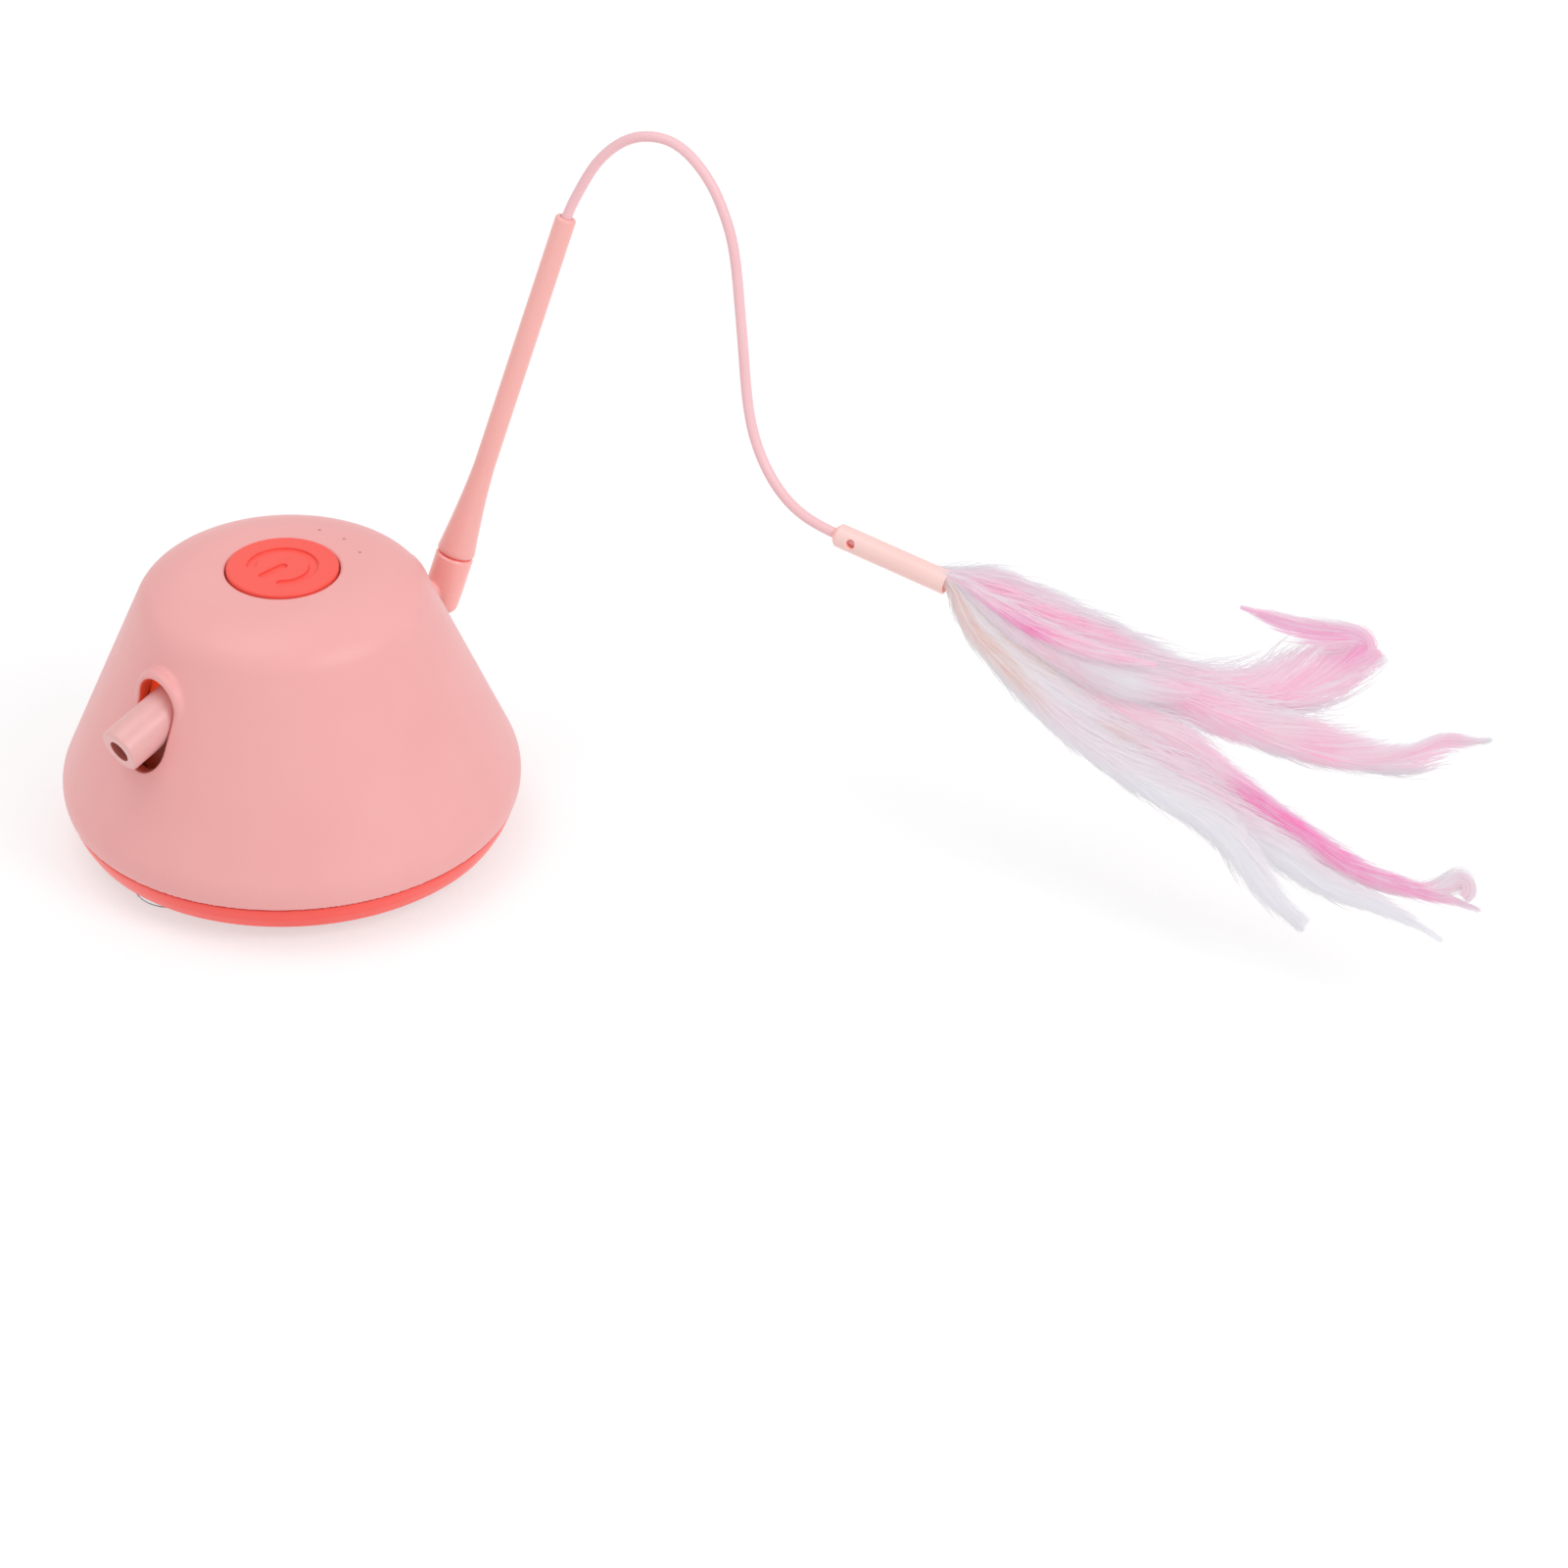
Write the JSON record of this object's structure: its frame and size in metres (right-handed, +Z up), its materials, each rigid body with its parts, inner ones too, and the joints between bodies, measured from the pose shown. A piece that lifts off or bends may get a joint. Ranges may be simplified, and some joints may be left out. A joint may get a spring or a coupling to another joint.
{
  "type": "automatic cat toy",
  "caption": "Automatic cat toy: a pink cone base with suction cups rocks two side arms; an elbow on one arm holds a wand, a curved spring wire and a bunch of dangling feathers.",
  "frame": {"origin": "centre of the flat underside of the bottom cover; the suction cups reach 4.5 mm below it", "axes": "+Z up; the two arms lie along X with the wand's arm at +X and the bare arm at -X; the charging socket faces +Y"},
  "size_m": [0.2098, 0.3104, 0.1661],
  "materials": {
    "shell_pink": "satin moulded pink",
    "coral": "satin moulded coral",
    "arm_pink": "smooth moulded pink",
    "wand_pink": "smooth moulded pink",
    "wire_pink": "pale pink coating on steel wire",
    "sleeve_pink": "smooth pale pink",
    "clear_vinyl": "clear soft vinyl",
    "frame_white": "plain moulded",
    "gear_white": "natural acetal",
    "board_green": "solder mask",
    "switch_black": "plain moulded",
    "lamp_red": "clear tinted resin",
    "cell_blue": "printed-free foil wrap",
    "steel": "plain",
    "brass": "plain",
    "feather_pink": "dyed feather",
    "feather_hot_pink": "dyed feather",
    "feather_pale": "white feather"
  },
  "bodies": {
    "base": {"upper_shell": "shell_pink", "bottom_cover": "coral", "switch_body": "switch_black", "circuit_board": "board_green", "gearbox_frame": "coral", "gearbox_cover": "coral", "hinge_pin": "steel", "output_gear_pin": "steel", "middle_gear_pin": "steel", "motor_can": "steel", "battery_tray": "frame_white", "battery_cell": "cell_blue", "charging_board": "board_green", "charging_socket": "steel", "suction_cup_1": "clear_vinyl", "status_lamp_1": "lamp_red", "case_screw_1": "steel", "board_screw_1": "steel", "cover_screw_1": "steel", "suction_cup_2": "clear_vinyl", "status_lamp_2": "lamp_red", "case_screw_2": "steel", "board_screw_2": "steel", "cover_screw_2": "steel", "suction_cup_3": "clear_vinyl", "status_lamp_3": "lamp_red", "case_screw_3": "steel", "board_screw_3": "steel", "cover_screw_3": "steel", "gearbox_screw_1": "steel", "gearbox_screw_2": "steel", "gearbox_screw_3": "steel", "gearbox_screw_4": "steel", "motor_screw_1": "steel", "tray_screw_1": "steel", "socket_screw_1": "steel", "motor_screw_2": "steel", "tray_screw_2": "steel", "socket_screw_2": "steel"},
    "rocker": {"rocker": "coral", "bare_arm_tube": "arm_pink", "wand_arm_tube": "arm_pink"},
    "elbow": {"elbow_connector": "wand_pink"},
    "wand": {"wand_tube": "wand_pink", "spring_wire": "wire_pink", "feather_sleeve": "sleeve_pink", "feather_top": "feather_pink", "feather_middle": "feather_pink", "feather_lower": "feather_hot_pink", "feather_white": "feather_pale", "feather_down": "feather_pale"},
    "button": {"power_button": "coral"},
    "switch_plunger": {"switch_plunger": "switch_black"},
    "output_gear": {"output_gear": "gear_white"},
    "middle_gear": {"middle_gear": "gear_white"},
    "motor_rotor": {"motor_pinion": "brass", "motor_shaft": "steel"}
  },
  "joints": [
    {"name": "rocker_tilt", "type": "hinge", "parent": "base", "child": "rocker", "pos_m": [0, 0, 0.046], "axis": [0, 1, 0], "range_deg": [-3.5, 3.5]},
    {"name": "elbow_turn", "type": "hinge", "parent": "rocker", "child": "elbow", "pos_m": [0.05031, 0, 0.04085], "axis": [0.9511, 0, -0.309], "range_deg": [-90, 2]},
    {"name": "wand_spin", "type": "hinge", "parent": "elbow", "child": "wand", "pos_m": [0.05031, 0, 0.04085], "axis": [0.3064, -0.1288, 0.9431], "range_deg": [-120, 2]},
    {"name": "button_press", "type": "slide", "parent": "base", "child": "button", "axis": [0, 0, -1], "range_m": [0, 0.0005], "stiffness_N_per_m": 3000},
    {"name": "plunger_press", "type": "slide", "parent": "base", "child": "switch_plunger", "axis": [0, 0, -1], "range_m": [0, 0.0005]},
    {"name": "output_gear_turn", "type": "hinge", "parent": "base", "child": "output_gear", "pos_m": [0, 0, 0.0268], "axis": [0, 1, 0], "range_deg": [-13.4, 13.4]},
    {"name": "middle_gear_turn", "type": "hinge", "parent": "base", "child": "middle_gear", "pos_m": [-0.01455, 0, 0.0184], "axis": [0, 1, 0], "range_deg": [-42.8, 42.8]},
    {"name": "motor_turn", "type": "hinge", "parent": "base", "child": "motor_rotor", "pos_m": [-0.02605, 0, 0.0184], "axis": [0, 1, 0], "range_deg": [-153.8, 153.8]}
  ],
  "couplings": [
    {"joint": "plunger_press", "follows": "button_press", "ratio": 1},
    {"joint": "output_gear_turn", "follows": "rocker_tilt", "ratio": -3.8},
    {"joint": "middle_gear_turn", "follows": "rocker_tilt", "ratio": 12.16},
    {"joint": "motor_turn", "follows": "rocker_tilt", "ratio": -43.776}
  ]
}
